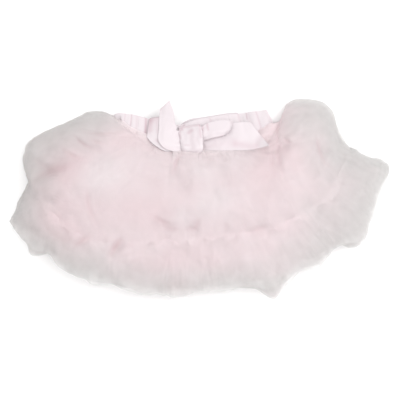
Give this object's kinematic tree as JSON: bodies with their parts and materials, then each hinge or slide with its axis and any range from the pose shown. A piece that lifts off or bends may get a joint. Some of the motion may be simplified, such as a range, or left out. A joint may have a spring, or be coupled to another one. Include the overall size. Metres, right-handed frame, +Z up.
{
  "type": "tulle skirt",
  "caption": "Child's pale pink tulle skirt laid flat, puffed in front, with a satin waistband, a ribbon bow and gathered ruffles round its lower edge.",
  "frame": {"origin": "under the middle of the skirt's outline, on the surface it lies on", "axes": "+X along the waistband towards the skirt's right as seen from above, +Y from the hem to the waist, +Z up from the back panel to the front"},
  "size_m": [0.514, 0.2716, 0.0629],
  "materials": {
    "tulle_upper": "fine pale pink net in puffed layers, matt",
    "tulle_ruffle": "sheer pale pink net ruffle, matt",
    "tulle_under": "sheer greyed pink net, matt",
    "satin": "pale pink satin with a soft sheen"
  },
  "bodies": {
    "root": {"skirt_front": "tulle_upper", "skirt_back": "tulle_upper", "ruffle_front": "tulle_ruffle", "ruffle_back": "tulle_ruffle", "under_ruffle_front": "tulle_under", "waistband": "satin", "bow_knot": "satin", "bow_loop_left": "satin", "bow_loop_right": "satin", "bow_tail_left": "satin", "bow_tail_right": "satin"}
  },
  "joints": []
}
